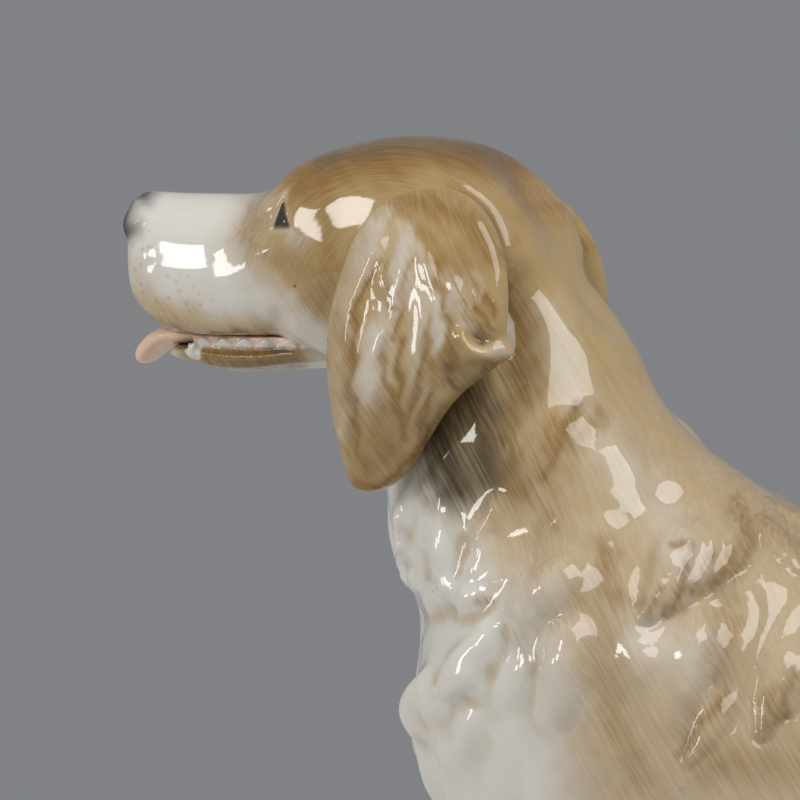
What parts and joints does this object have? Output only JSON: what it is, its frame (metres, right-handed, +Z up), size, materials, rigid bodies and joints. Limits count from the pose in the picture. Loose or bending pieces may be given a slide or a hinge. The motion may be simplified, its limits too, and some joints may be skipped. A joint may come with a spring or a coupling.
{
  "type": "porcelain dog figurine",
  "caption": "Glazed porcelain spaniel seated with its head level, mouth open and tongue out, long wavy ears and a feathered chest; a hollow-cast ornament that stands on its own feet.",
  "frame": {"origin": "under the middle of the figure's box, on the surface it stands on", "axes": "+Z up; the dog looks along -X; its left side is -Y"},
  "size_m": [0.1936, 0.1164, 0.2051],
  "materials": {
    "tan_glaze": "clear gloss glaze over brushed tan underglaze on white porcelain",
    "white_glaze": "clear gloss glaze over white porcelain",
    "pink_glaze": "clear gloss glaze over peach underglaze"
  },
  "bodies": {
    "root": {"trunk": "tan_glaze", "head": "tan_glaze", "left_ear": "tan_glaze", "right_ear": "tan_glaze", "lower_jaw": "white_glaze", "tongue": "pink_glaze", "left_foreleg": "white_glaze", "right_foreleg": "white_glaze", "left_hind_leg": "tan_glaze", "right_hind_leg": "tan_glaze", "tail": "tan_glaze"}
  },
  "joints": []
}
